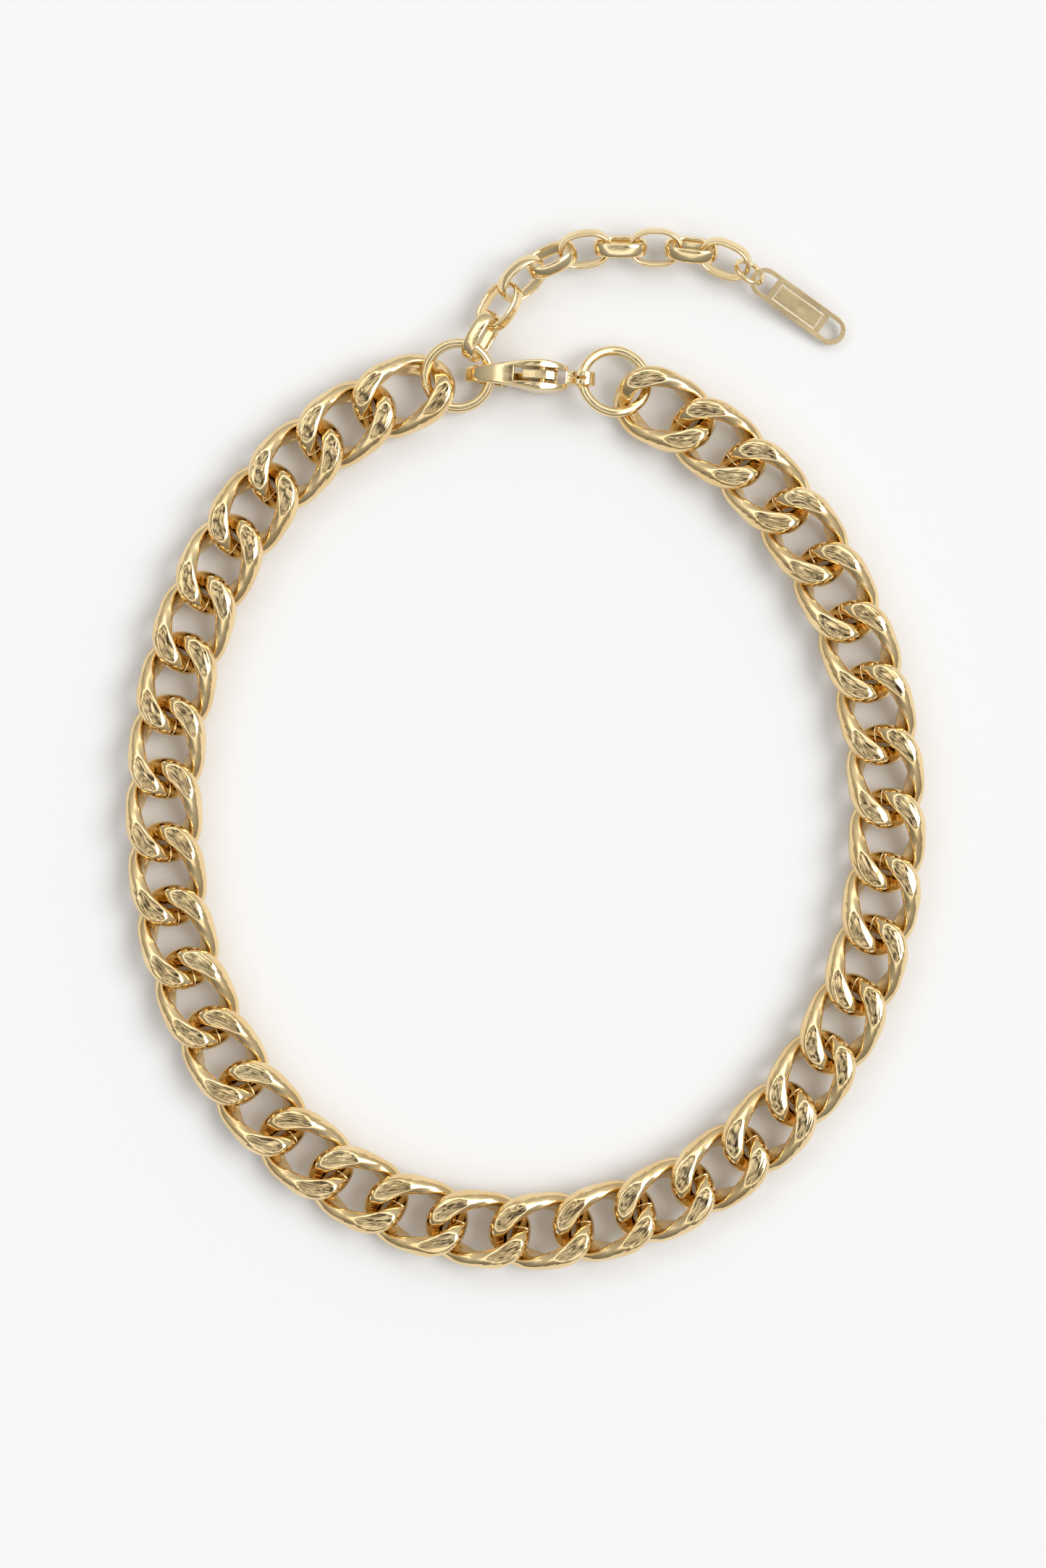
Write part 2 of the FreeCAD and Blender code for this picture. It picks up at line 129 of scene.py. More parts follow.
# Brightness of the studio by the share of the half turn from overhead down to underneath.
STUDIO = [
    (0.0, 0.06), (0.014, 0.10), (0.03, 0.40), (0.09, 0.36), (0.135, 0.30), (0.16, 0.5),
    (0.19, 0.66), (0.215, 1.6), (0.265, 1.6), (0.30, 0.66), (0.38, 0.45), (0.47, 0.36), (0.53, 0.30),
    (1.0, 0.2)]
STUDIO_STRENGTH = 1.0
STUDIO_LEAN = (0.15, 0.4)
STREAK_STRETCH = (4.0, 13.0, 4.0)
STREAK_TURN = math.radians(30)
STREAK_WAVER = 0.07
STREAK_RANGE = (0.12, 3.0)


# ---------------------------------------------------------------- vectors and frames

def unit(vector):
    return np.asarray(vector, float) / np.linalg.norm(vector)


def metres_box(node):
    low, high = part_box(node)
    return np.array(low), np.array(high)


def box_middle(node):
    low, high = metres_box(node)
    return (low + high) / 2


def node_axes(node):
    """A CAD node's long, middle and short directions, from how its surface spreads."""
    mesh = frame["nodes"][node].data
    mesh.calc_loop_triangles()
    points = np.array([v.co for v in mesh.vertices], float)
    corners = points[np.array([t.vertices[:] for t in mesh.loop_triangles])]
    centres = corners.mean(axis=1)
    areas = np.linalg.norm(
        np.cross(corners[:, 1] - corners[:, 0], corners[:, 2] - corners[:, 0]), axis=1)
    middle = (centres * areas[:, None]).sum(axis=0) / areas.sum()
    spread = centres - middle
    tensor = (spread * areas[:, None]).T @ spread
    values, vectors = np.linalg.eigh(tensor)
    return middle, vectors[:, 2], vectors[:, 1], vectors[:, 0]


def frame_matrix(origin, x_axis, z_axis):
    """A right-handed local frame: x kept, z squared up to it."""
    x_axis = unit(x_axis)
    z_axis = unit(z_axis - x_axis * np.dot(z_axis, x_axis))
    y_axis = np.cross(z_axis, x_axis)
    matrix = np.eye(4)
    matrix[:3, 0] = x_axis
    matrix[:3, 1] = y_axis
    matrix[:3, 2] = z_axis
    matrix[:3, 3] = origin
    return matrix


def placed(points_mm, matrix):
    """Local millimetres to the shared frame's metres."""
    return np.asarray(points_mm) * MM @ matrix[:3, :3].T + matrix[:3, 3]


# ---------------------------------------------------------------- mesh builders

def mesh_piece(name, points, faces, material):
    mesh = bpy.data.meshes.new(name)
    mesh.from_pydata([tuple(p) for p in points], [], [tuple(f) for f in faces])
    mesh.validate()
    mesh.polygons.foreach_set("use_smooth", [True] * len(mesh.polygons))
    piece = bpy.data.objects.new(name, mesh)
    bpy.context.scene.collection.objects.link(piece)
    mesh.materials.append(material)
    return piece


def loop_faces(rows, columns):
    """Quads of a grid that closes both ways."""
    row = np.arange(rows)[:, None]
    column = np.arange(columns)[None, :]
    next_row = (row + 1) % rows
    next_column = (column + 1) % columns
    quads = np.stack([
        row * columns + column, next_row * columns + column,
        next_row * columns + next_column, row * columns + next_column], axis=-1)
    return quads.reshape(-1, 4)


def smooth_loop(points, steps):
    """A closed smooth outline that passes through its points."""
    points = np.asarray(points, float)
    outline = []
    count = len(points)
    for index in range(count):
        before, start, end, after = (points[(index + k) % count] for k in (-1, 0, 1, 2))
        for step in range(steps):
            t = step / steps
            outline.append(0.5 * (
                2 * start + (end - before) * t
                + (2 * before - 5 * start + 4 * end - after) * t * t
                + (3 * start - before - 3 * end + after) * t ** 3))
    return np.array(outline)


def swept_loop(centres, sides, lifts, section, left=1.0):
    """A closed tube: section is a ring of (side, lift) offsets, and left is how much of it
    there is at each row."""
    size = np.broadcast_to(left, len(centres))[:, None, None]
    points = (
        centres[:, None, :]
        + sides[:, None, :] * (section[None, :, 0, None] * size)
        + lifts[:, None, :] * (section[None, :, 1, None] * size))
    return points.reshape(-1, 3), loop_faces(len(centres), len(section))


def with_fine_rows(rows, seams, fine=0.6, width=9):
    """Angles round a loop, evenly spread, with extra rows packed about each seam's angle."""
    angles = list(np.linspace(0, 2 * math.pi, rows, endpoint=False))
    step = 2 * math.pi / rows
    for seam in seams:
        angles = [a for a in angles if abs((a - seam + math.pi) % (2 * math.pi) - math.pi) > fine * step]
        angles += [seam + fine * step * (2 * k / (width - 1) - 1) * 0.9 for k in range(width)]
    return np.sort(np.array(angles) % (2 * math.pi))


def seam_shrink(angles, seams, reach, radius):
    """How much of the wire's radius is left at each row, next to a butt joint's fine groove."""
    left = np.ones(len(angles))
    for seam in seams:
        away = np.abs((angles - seam + math.pi) % (2 * math.pi) - math.pi) * reach
        left -= SEAM_DEPTH / radius * np.exp(-(away / SEAM_WIDTH) ** 2)
    return left


# ---------------------------------------------------------------- materials

def shader(name, colour, roughness):
    material = bpy.data.materials.new(name)
    material.use_nodes = True
    nodes = material.node_tree.nodes
    principled = nodes["Principled BSDF"]
    principled.inputs["Base Color"].default_value = (*colour, 1)
    principled.inputs["Metallic"].default_value = 1.0
    principled.inputs["Roughness"].default_value = roughness
    return material, nodes, material.node_tree.links, principled


def noise(nodes, links, scale, detail=2.0, coordinates=None):
    texture = nodes.new("ShaderNodeTexNoise")
    texture.inputs["Scale"].default_value = scale
    texture.inputs["Detail"].default_value = detail
    if coordinates is None:
        coordinates = nodes.new("ShaderNodeTexCoord").outputs["Object"]
    links.new(coordinates, texture.inputs["Vector"])
    return texture.outputs["Fac"]


def remap(nodes, links, value, low, high, floor=0.3, ceiling=0.7):
    ranged = nodes.new("ShaderNodeMapRange")
    ranged.inputs["From Min"].default_value = floor
    ranged.inputs["From Max"].default_value = ceiling
    ranged.inputs["To Min"].default_value = low
    ranged.inputs["To Max"].default_value = high
    links.new(value, ranged.inputs["Value"])
    return ranged.outputs["Result"]


def bump(nodes, links, height, strength, distance, previous=None):
    node = nodes.new("ShaderNodeBump")
    node.inputs["Strength"].default_value = strength
    node.inputs["Distance"].default_value = distance
    links.new(height, node.inputs["Height"])
    if previous is not None:
        links.new(previous, node.inputs["Normal"])
    return node.outputs["Normal"]


def two_tone(nodes, links, value, low, high):
    ramp = nodes.new("ShaderNodeValToRGB")
    ramp.color_ramp.elements[0].position = 0.35
    ramp.color_ramp.elements[0].color = (*low, 1)
    ramp.color_ramp.elements[1].position = 0.65
    ramp.color_ramp.elements[1].color = (*high, 1)
    links.new(value, ramp.inputs["Fac"])
    return ramp.outputs["Color"]


def polished_gold(name, low, high, roughness, ripple, grain=0.0):
    """Plated gold with a mirror polish: faint patches of tone, a slow ripple left by the
    polishing wheel, and hairline wear that only shows in the gloss. Grain is how deep the
    drawing marks along the wire are, read from the mesh's own grain coordinates."""
    material, nodes, links, principled = shader(name, high, roughness)
    tone = noise(nodes, links, 160, 3)
    links.new(two_tone(nodes, links, tone, low, high), principled.inputs["Base Color"])
    wear = noise(nodes, links, 2600, 4)
    links.new(remap(nodes, links, wear, roughness * 0.7, roughness * 1.5), principled.inputs["Roughness"])
    slow = bump(nodes, links, noise(nodes, links, 210, 1), ripple, 0.0006)
    if grain > 0:
        marks = nodes.new("ShaderNodeAttribute")
        marks.attribute_name = "grain"
        slow = bump(nodes, links, noise(nodes, links, 1.0, 1.5, marks.outputs["Vector"]), 1.0, grain, slow)
    fine = bump(nodes, links, noise(nodes, links, 4200, 2), 0.04, 0.00005, slow)
    links.new(fine, principled.inputs["Normal"])
    return material


def brushed_gold(name, low, high, roughness, matrix):
    """Fine straight brushing along the tag, in its own frame."""
    material, nodes, links, principled = shader(name, high, roughness)
    coordinates = nodes.new("ShaderNodeTexCoord").outputs["Object"]
    mapping = nodes.new("ShaderNodeMapping")
    mapping.vector_type = "TEXTURE"
    turn = Matrix(matrix.tolist()).to_euler()
    mapping.inputs["Rotation"].default_value = turn
    mapping.inputs["Scale"].default_value = (22.0, 1.0, 1.0)
    links.new(coordinates, mapping.inputs["Vector"])
    grain = noise(nodes, links, 9000, 3, mapping.outputs["Vector"])
    patches = noise(nodes, links, 500, 3)
    links.new(two_tone(nodes, links, patches, low, high), principled.inputs["Base Color"])
    links.new(remap(nodes, links, grain, roughness * 0.8, roughness * 1.3), principled.inputs["Roughness"])
    links.new(bump(nodes, links, grain, 0.25, 0.00003), principled.inputs["Normal"])
    principled.inputs["Anisotropic"].default_value = 0.5
    return material


GOLD = polished_gold("curb_gold", (0.84, 0.61, 0.30), (0.92, 0.71, 0.39), 0.065, 0.15, 0.00015)
FINE_GOLD = polished_gold("fine_gold", (0.87, 0.67, 0.36), (0.94, 0.76, 0.45), 0.09, 0.2)
STEEL, _, _, _ = shader("spring_steel", (0.62, 0.61, 0.58), 0.25)


# ---------------------------------------------------------------- curb chain

def rounded(value, power):
    """A sine or cosine of a superellipse's angle, kept signed."""
    return np.sign(value) * np.abs(value) ** (2 / power)


def crowned_section(columns, inner, outer, half_width, inner_power, outer_power):
    """A half-round wire's section: flat on the inside of the link and crowned on the outside,
    as (outward, across) offsets from the wire's middle."""
    turns = 2 * math.pi * (np.arange(columns) + 0.5) / columns
    cosine = np.cos(turns)
    sine = np.sin(turns)
    power = np.where(cosine > 0, outer_power, inner_power)
    depth = np.where(cosine > 0, outer, inner)
    return np.column_stack([depth * rounded(cosine, power), half_width * rounded(sine, power)])


def pressed(heights):
    """The chain was rolled flat after it was linked, so both faces of a link have a facet that
    keeps a little of the wire's crown."""
    over = np.maximum(np.abs(heights) - CURB_FACE, 0)
    return np.sign(heights) * (np.abs(heights) - over * (1 - CURB_FACE_CROWN))


def curb_link_mesh():
    """One link's points and faces, with the groove of its soldered seam at the back end."""
    seam = math.pi
    angles = with_fine_rows(CURB_ROWS, [seam])

    def centreline(at):
        cosine = np.cos(at)
        sine = np.sin(at)
        power = CURB_SQUARENESS
        reach = (np.abs(cosine) ** power + np.abs(sine) ** power) ** (-1 / power)
        share = reach * cosine
        width = CURB_HALF_WIDTH * reach * sine
        turn = -CURB_TWIST * share
        points = np.column_stack(
            [CURB_HALF_LENGTH * share, width * np.cos(turn), width * np.sin(turn)])
        return points, np.column_stack([0 * turn, -np.sin(turn), np.cos(turn)]), share

    step = 0.01
    centres, across, share = centreline(angles)
    forward = centreline(angles + step)[0] - centreline(angles - step)[0]
    forward /= np.linalg.norm(forward, axis=1)[:, None]
    outward = np.cross(forward, across)
    outward /= np.linalg.norm(outward, axis=1)[:, None]
    across = np.cross(outward, forward)
    roll = (-CURB_EXTRA_ROLL * np.sin(math.pi * share) * forward[:, 0])[:, None]
    outward, across = (
        outward * np.cos(roll) - across * np.sin(roll), across * np.cos(roll) + outward * np.sin(roll))
    section = crowned_section(
        CURB_COLUMNS, CURB_INNER, CURB_OUTER, CURB_WIDE / 2, CURB_INNER_POWER, CURB_OUTER_POWER)
    left = seam_shrink(angles, [seam], CURB_HALF_WIDTH, CURB_OUTER)[:, None, None]
    thick = 1 + CURB_END_GAIN * share[:, None] ** 4
    depth = section[:, 0] * np.where(section[:, 0] < 0, thick, 1.0)
    points = (centres[:, None, :] + outward[:, None, :] * depth[:, :, None] * left
              + across[:, None, :] * section[None, :, 1, None] * left).reshape(-1, 3)
    points[:, 2] = pressed(points[:, 2])
    grain = np.stack(np.broadcast_arrays(
        GRAIN_ALONG * np.cos(angles)[:, None], GRAIN_ALONG * np.sin(angles)[:, None],
        GRAIN_ACROSS * section[None, :, 1]), axis=-1).reshape(-1, 3)
    return points, loop_faces(len(angles), CURB_COLUMNS), grain


def chain_hinges():
    """The pivots round the loop, from the right ring clockwise to the left ring."""
    count = sum(1 for name in frame["nodes"] if name.startswith("curb_link_"))
    names = ["right_ring_swing"]
    names += ["curb_bend_%02d_%02d" % (number, number + 1) for number in range(1, count)]
    names += ["left_ring_swing"]
    return [np.array(JOINTS[name]["pos_m"]) for name in names]


def make_curb_chain():
    points, faces, grain = curb_link_mesh()
    hinges = chain_hinges()
    for number, (start, end) in enumerate(zip(hinges, hinges[1:]), start=1):
        node = "curb_link_%02d" % number
        matrix = frame_matrix((start + end) / 2, end - start, UP)
        piece = mesh_piece(node + "_wire", placed(points, matrix), faces, GOLD)
        marks = piece.data.attributes.new("grain", "FLOAT_VECTOR", "POINT")
        marks.data.foreach_set("vector", (grain + GRAIN_STEP * number).astype(np.float32).ravel())
        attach(piece, node)
        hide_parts(node)


# ---------------------------------------------------------------- rings

def make_ring(node, radius, wire, rows=160, columns=28):
    """A round wire ring with the hairline gap where its ends butt."""
    _, _, _, normal = node_axes(node)
    middle = box_middle(node)
    if normal[2] < 0:
        normal = -normal
    matrix = frame_matrix(middle, np.cross(normal, UP), normal)
    seams = [0.0]
    angles = with_fine_rows(rows, seams)
    outward = np.column_stack([np.cos(angles), np.sin(angles), np.zeros(len(angles))])
    spokes = 2 * math.pi * np.arange(columns) / columns
    section = np.column_stack([np.cos(spokes), np.sin(spokes)]) * wire / 2
    lifts = np.tile(UP, (len(angles), 1))
    left = seam_shrink(angles, seams, radius, wire / 2)
    points, faces = swept_loop(outward * radius, outward, lifts, section, left)
    piece = mesh_piece(node + "_wire", placed(points, matrix), faces[:, ::-1], FINE_GOLD)
    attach(piece, node)
    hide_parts(node)


# ---------------------------------------------------------------- extender

def band_section(columns=32):
    """A belcher band's section: flat inside with soft corners, crowned outside."""
    turns = 2 * math.pi * np.arange(columns) / columns
    cosine = np.cos(turns)
    sine = np.sin(turns)
    outer = 2.2
    inner = 6.0
    power = np.where(cosine > 0, outer, inner)
    reach = (np.abs(cosine) ** power + np.abs(sine) ** 3.0) ** (-1 / np.maximum(power, 3.0))
    across = reach * cosine * BELCHER_GAUGE / 2
    height = np.clip(reach * sine, -1, 1) * BELCHER_BAND / 2
    return np.column_stack([across, height])


def make_extender():
    angles = np.linspace(0, 2 * math.pi, 112, endpoint=False)
    cosine = np.cos(angles)
    sine = np.sin(angles)
    reach = (
        np.abs(cosine) ** BELCHER_SQUARENESS + np.abs(sine) ** BELCHER_SQUARENESS
    ) ** (-1 / BELCHER_SQUARENESS)
    half_length = BELCHER_HALF_LENGTH - BELCHER_GAUGE / 2
    half_width = BELCHER_HALF_WIDTH - BELCHER_GAUGE / 2
    centres = np.column_stack([half_length * reach * cosine, half_width * reach * sine, 0 * angles])
    forward = np.roll(centres, -1, axis=0) - np.roll(centres, 1, axis=0)
    forward /= np.linalg.norm(forward, axis=1)[:, None]
    outward = np.cross(forward, UP)
    lifts = np.tile(UP, (len(angles), 1))
    points, faces = swept_loop(centres, outward, lifts, band_section())
    for number in range(1, 10):
        node = "extender_link_%d" % number
        middle, x_axis, _, z_axis = node_axes(node)
        matrix = frame_matrix(middle, x_axis, z_axis)
        piece = mesh_piece(node + "_band", placed(points, matrix), faces[:, ::-1], FINE_GOLD)
        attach(piece, node)
        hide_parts(node)


# ---------------------------------------------------------------- tag

def stadium(half_length, radius, steps=24):
    outline = []
    for centre, start in ((half_length - radius, -90), (radius - half_length, 90)):
        for step in range(steps + 1):
            angle = math.radians(start + 180 * step / steps)
            outline.append((centre + radius * math.cos(angle), radius * math.sin(angle)))
    return outline


def inside(point, outline):
    within = False
    x, y = point
    for (x0, y0), (x1, y1) in zip(outline, outline[1:] + outline[:1]):
        if (y0 > y) != (y1 > y) and x < (x1 - x0) * (y - y0) / (y1 - y0) + x0:
            within = not within
    return within


def layered_plate(outline, holes, sunk, low, high, depth):
    """A flat plate with holes and sunk lines: every step in level gets its own wall."""
    loops = [outline] + holes + sunk
    points = []
    edges = []
    for loop in loops:
        first = len(points)
        points += [Vector(p) for p in loop]
        edges += [(first + k, first + (k + 1) % len(loop)) for k in range(len(loop))]
    flat, _, triangles, _, _, _ = delaunay_2d_cdt(points, edges, [], 1, 1e-5)
    shape = bmesh.new()
    corners = {}

    def corner(index, level):
        if (index, level) not in corners:
            corners[index, level] = shape.verts.new((*flat[index], level))
        return corners[index, level]

    sides = {}
    for triangle in triangles:
        middle = sum((flat[k] for k in triangle), Vector((0, 0))) / len(triangle)
        if not inside(middle, outline) or any(inside(middle, hole) for hole in holes):
            continue
        sunk_here = sum(inside(middle, loop) for loop in sunk) % 2 == 1
        top = high - depth if sunk_here else high
        face = shape.faces.new([corner(k, top) for k in triangle])
        face.material_index = int(sunk_here)
        shape.faces.new([corner(k, low) for k in reversed(triangle)])
        for start, end in zip(triangle, list(triangle[1:]) + [triangle[0]]):
            sides[start, end] = top
    for (start, end), top in sides.items():
        other = sides.get((end, start))
        if other is None:
            shape.faces.new([corner(k, v) for k, v in (
                (start, top), (start, low), (end, low), (end, top))])
        elif top > other:
            shape.faces.new([corner(k, v) for k, v in (
                (start, top), (start, other), (end, other), (end, top))])
    bmesh.ops.recalc_face_normals(shape, faces=shape.faces)
    bmesh.ops.dissolve_limit(
        shape, angle_limit=math.radians(1), verts=shape.verts, edges=shape.edges)
    return shape


def d_hole(sign, steps=16):
    """A D-shaped hole at one end: round along the tag's end, straight towards its middle."""
    radius = TAG_HALF_WIDTH - TAG_RIM
    centre = TAG_HALF_LENGTH - TAG_HALF_WIDTH
    flat = TAG_HALF_LENGTH - TAG_RIM - TAG_HOLE
    outline = [(flat, -radius)]
    for step in range(steps + 1):
        angle = math.radians(-90 + 180 * step / steps)
        outline.append((centre + radius * math.cos(angle), radius * math.sin(angle)))
    outline.append((flat, radius))
    return [(sign * x, sign * y) for x, y in outline]


def rectangle(half_x, half_y):
    return [(half_x, half_y), (-half_x, half_y), (-half_x, -half_y), (half_x, -half_y)]


def make_tag():
    middle, x_axis, _, z_axis = node_axes("end_tag")
    if z_axis[2] < 0:
        z_axis = -z_axis
    if np.dot(x_axis, np.array(MOUNTS["charm_hole"]["pos_m"]) - middle) < 0:
        x_axis = -x_axis
    matrix = frame_matrix(box_middle("end_tag"), x_axis, z_axis)
    flat = TAG_HALF_LENGTH - TAG_RIM - TAG_HOLE
    border_x = flat - 0.9
    border_y = TAG_HALF_WIDTH - TAG_RIM - 0.15
    line = 0.25
    sunk = [rectangle(border_x, border_y), rectangle(border_x - line, border_y - line)]
    shape = layered_plate(
        stadium(TAG_HALF_LENGTH, TAG_HALF_WIDTH), [d_hole(1), d_hole(-1)], sunk,
        -TAG_GAUGE / 2, TAG_GAUGE / 2, 0.12)
    shape.transform(Matrix.Scale(MM, 4))
    shape.transform(Matrix(matrix.tolist()))
    mesh = bpy.data.meshes.new("end_tag_plate")
    shape.to_mesh(mesh)
    shape.free()
    piece = bpy.data.objects.new("end_tag_plate", mesh)
    bpy.context.scene.collection.objects.link(piece)
    mesh.materials.append(brushed_gold(
        "tag_gold", (0.72, 0.56, 0.31), (0.79, 0.62, 0.36), 0.30, matrix))
    mesh.materials.append(polished_gold("tag_line", (0.96, 0.88, 0.70), (0.99, 0.94, 0.80), 0.35, 0.05))
    bevel = piece.modifiers.new("soft_edges", "BEVEL")
    bevel.width = 0.07 * MM
    bevel.segments = 3
    bevel.limit_method = "ANGLE"
    bevel.angle_limit = math.radians(40)
    bevel.harden_normals = True
    mesh.polygons.foreach_set("use_smooth", [True] * len(mesh.polygons))
    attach(piece, "end_tag")
    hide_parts("end_tag")


# ---------------------------------------------------------------- clasp

def prism(name, outline, low, high, plane):
    """A closed block with the outline drawn in the plane named, from low to high across it."""
    shape = bmesh.new()
    rings = []
    for level in (low, high):
        rings.append([shape.verts.new(
            (x, level, y) if plane == "side" else (x, y, level)) for x, y in outline])
    shape.faces.new(rings[0])
    shape.faces.new(rings[1][::-1])
    count = len(outline)
    for k in range(count):
        following = (k + 1) % count
        shape.faces.new([rings[0][following], rings[0][k], rings[1][k], rings[1][following]])
    bmesh.ops.recalc_face_normals(shape, faces=shape.faces)
    mesh = bpy.data.meshes.new(name)
    shape.to_mesh(mesh)
    shape.free()
    block = bpy.data.objects.new(name, mesh)
    bpy.context.scene.collection.objects.link(block)
    return block


def circle(x, y, radius, steps=40):
    turns = 2 * math.pi * np.arange(steps) / steps
    return [(x + radius * math.cos(a), y + radius * math.sin(a)) for a in turns]


def combine(base, tool, operation):
    """Joins, cuts or keeps the overlap of two blocks, and uses up the second."""
    modifier = base.modifiers.new("combine", "BOOLEAN")
    modifier.object = tool
    modifier.operation = operation
    modifier.solver = "EXACT"
    apply_modifiers(base)
    bpy.data.objects.remove(tool)


def apply_modifiers(piece):
    bpy.context.view_layer.update()
    depsgraph = bpy.context.evaluated_depsgraph_get()
    mesh = bpy.data.meshes.new_from_object(piece.evaluated_get(depsgraph))
    piece.modifiers.clear()
    piece.data = mesh


def soften(piece, voxel, rounds, factor=0.5):
    """Turns crisp blocks into one cast form: a fine remesh, then its corners rubbed round."""
    remesh = piece.modifiers.new("remesh", "REMESH")
    remesh.mode = "VOXEL"
    remesh.voxel_size = voxel
    remesh.use_smooth_shade = True
    smooth = piece.modifiers.new("rub", "SMOOTH")
    smooth.factor = factor
    smooth.iterations = rounds
    apply_modifiers(piece)
    piece.data.polygons.foreach_set("use_smooth", [True] * len(piece.data.polygons))


def finish_cast(piece, matrix, node, body, material):
    piece.data.transform(Matrix.Scale(MM, 4))
    piece.data.transform(Matrix(matrix.tolist()))
    piece.data.materials.clear()
    piece.data.materials.append(material)
    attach(piece, body)
    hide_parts(node)


def clasp_matrix():
    """The clasp's own frame: x from its tail eye to its nose, z towards its spine, in which
    the lever's pin is where the lever's joint is."""
    lever = JOINTS["lever_press"]
    across = -unit(lever["axis"])
    hold = np.array(MOUNTS["clasp_hold"]["pos_m"])
    ring = box_middle("right_jump_ring")
    _, _, _, normal = node_axes("right_jump_ring")
    normal = normal * np.sign(normal[2])
    along = ring - np.array(JOINTS["right_ring_swing"]["pos_m"])
    along = unit(along * (1, 1, 0))
    sideways = np.cross(normal, along)
    turn = math.atan2(*(hold - ring)[1::-1]) - math.atan2(along[1], along[0])
    eye = ring + RING_RADIUS * MM * (math.cos(turn) * along + math.sin(turn) * sideways)
    forward = unit(hold - eye)
    spine = unit(np.cross(forward, across))
    forward = np.cross(across, spine)
    pin = np.array(lever["pos_m"])
    origin = pin - (forward * PIN_ALONG + spine * PIN_ABOVE) * MM
    matrix = np.eye(4)
    matrix[:3, 0] = forward
    matrix[:3, 1] = across
    matrix[:3, 2] = spine
    matrix[:3, 3] = origin
    return matrix


def flank_outline(sign):
    """Half of the clasp's width from above: a slim nose, a full belly, a trimmed tail."""
    half_nose = CLASP_NOSE / 2
    half_belly = CLASP_BELLY / 2
    along = np.linspace(CLASP_LENGTH + 1, 4.0, 60)
    shoulder = 8.6
    width = []
    for x in along:
        if x > shoulder:
            share = (x - shoulder) / (CLASP_LENGTH - shoulder)
            taper = math.sin(min(1, share) * math.pi / 2) ** 1.3
            width.append(half_belly - (half_belly - half_nose) * taper)
        else:
            share = (shoulder - x) / (shoulder - 4.0)
            width.append(half_belly - 0.85 * share ** 2)
    return along, np.array(width) * sign


def make_clasp():
    matrix = clasp_matrix()
    front = CLASP_LENGTH
    side = smooth_loop([
        (4.3, 0.0), (5.0, 1.9), (7.6, 3.6), (11.2, 4.35), (15.2, 3.9), (front - 2.0, 2.0),
        (front, -0.5), (front - 1.7, -2.5), (front - 5.0, -3.1), (11.0, -3.15), (7.4, -2.85),
        (5.1, -1.7)], 10)
    half = CLASP_BELLY / 2
    body = prism("clasp_cast", [tuple(p) for p in side], -half, half, "side")
    along, right = flank_outline(1)
    plan = [(x, y) for x, y in zip(along, right)] + [(x, -y) for x, y in zip(along[::-1], right[::-1])]
    combine(body, prism("plan", plan, -6, 6, "plan"), "INTERSECT")
    soften(body, 0.12, 45)
    half_eye = CLASP_EYE_THICKNESS / 2
    combine(body, prism("eye", circle(CLASP_EYE, 0, CLASP_EYE), -half_eye, half_eye, "side"), "UNION")
    neck = [(CLASP_EYE, -1.15), (5.4, -1.35), (5.4, 1.35), (CLASP_EYE, 1.15)]
    combine(body, prism("neck", neck, 0.15 - half_eye, half_eye - 0.15, "side"), "UNION")
    combine(body, prism("eye_hole", circle(CLASP_EYE, 0, CLASP_EYE_HOLE), -4, 4, "side"), "DIFFERENCE")
    throat = smooth_loop([
        (11.9, 0.4), (13.2, 2.1), (15.6, 2.15), (front - 2.7, 0.9), (front - 2.25, -0.4),
        (front - 3.2, -1.4), (15.6, -1.75), (12.6, -1.3)], 10)
    combine(body, prism("throat", [tuple(p) for p in throat], -4, 4, "side"), "DIFFERENCE")
    mouth = [(15.6, -0.9), (14.1, -4.2), (10.6, -4.2), (11.6, -0.9)]
    combine(body, prism("mouth", mouth, -4, 4, "side"), "DIFFERENCE")
    slot = [(6.3, -2.2), (9.0, -2.2), (9.6, -4.5), (12.9, -4.5), (12.9, 5.0), (4.7, 5.0),
            (4.7, -4.5), (6.3, -4.5)]
    half_slot = CLASP_SLOT / 2
    combine(body, prism("slot", slot, -half_slot, half_slot, "side"), "DIFFERENCE")
    groove = [(1.4, 1.0), (4.2, 1.0), (4.2, 3.0), (1.4, 3.0)]
    combine(body, prism("neck_groove", groove, -0.2, 0.2, "side"), "DIFFERENCE")
    combine(body, prism("pin_hole", circle(PIN_ALONG, PIN_ABOVE, PIN_HOLE), -4, 4, "side"), "DIFFERENCE")
    soften(body, 0.085, 5)
    finish_cast(body, matrix, "clasp_body", "clasp", FINE_GOLD)

    lever_side = [
        (6.4, 3.3), (7.6, 3.95), (9.4, 4.35), (11.4, 4.5), (11.5, 3.9), (10.3, 1.3), (10.6, 0.0),
        (14.9, -1.9), (14.35, -3.0), (10.2, -2.4), (8.2, -1.45), (6.6, -1.3), (6.6, -0.6), (7.2, 0.4)]
    half_lever = LEVER_WIDTH / 2
    lever = prism("clasp_trigger", lever_side, -half_lever, half_lever, "side")
    combine(lever, prism("lever_hole", circle(PIN_ALONG, PIN_ABOVE, 0.55), -4, 4, "side"), "DIFFERENCE")
    soften(lever, 0.06, 4)
    finish_cast(lever, matrix, "clasp_lever", "clasp_lever", FINE_GOLD)

    half_pin = CLASP_BELLY / 2 - 0.05
    pin = prism("clasp_rivet", circle(PIN_ALONG, PIN_ABOVE, PIN_RADIUS, 32), -half_pin, half_pin, "side")
    bevel = pin.modifiers.new("rivet_edge", "BEVEL")
    bevel.width = 0.12
    bevel.segments = 3
    bevel.limit_method = "ANGLE"
    bevel.angle_limit = math.radians(50)
    apply_modifiers(pin)
    pin.data.polygons.foreach_set("use_smooth", [True] * len(pin.data.polygons))
    finish_cast(pin, matrix, "clasp_pin", "clasp", FINE_GOLD)


# ---------------------------------------------------------------- stage

